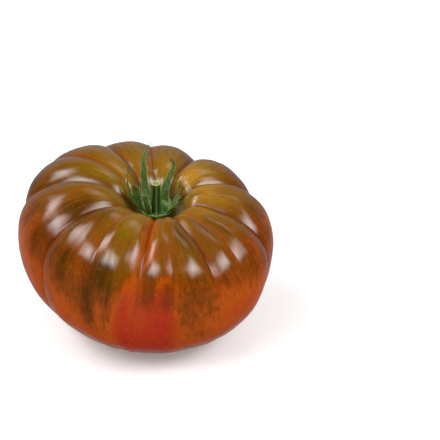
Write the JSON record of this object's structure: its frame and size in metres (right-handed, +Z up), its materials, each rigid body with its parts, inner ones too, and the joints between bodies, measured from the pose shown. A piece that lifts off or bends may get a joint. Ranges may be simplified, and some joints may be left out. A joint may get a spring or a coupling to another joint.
{
  "type": "tomato",
  "caption": "Ribbed beefsteak tomato, wider than tall, with a cut stem and curled sepals standing in the hollow of its crown; rests on a flat blossom end.",
  "frame": {"origin": "where the core's axis meets the surface that the fruit rests on, at the middle of the flat rest spot", "axes": "+Z up, along the core towards the stem; -Y towards the front of the fruit; +X to its right"},
  "size_m": [0.1039, 0.104, 0.0752],
  "materials": {
    "skin": "waxy tomato skin, glossy, olive and amber shoulders turning orange-red below",
    "stem_green": "matte ridged plant stem, finely hairy, pale at the cut",
    "sepal_green": "matte leaf with a pale edge and fine hairs"
  },
  "bodies": {
    "root": {"fruit": "skin", "stem": "stem_green", "sepal_front_right": "sepal_green", "sepal_right": "sepal_green", "sepal_back_right": "sepal_green", "sepal_back_left": "sepal_green", "sepal_left": "sepal_green", "sepal_front_left": "sepal_green", "sepal_front": "sepal_green"}
  },
  "joints": []
}
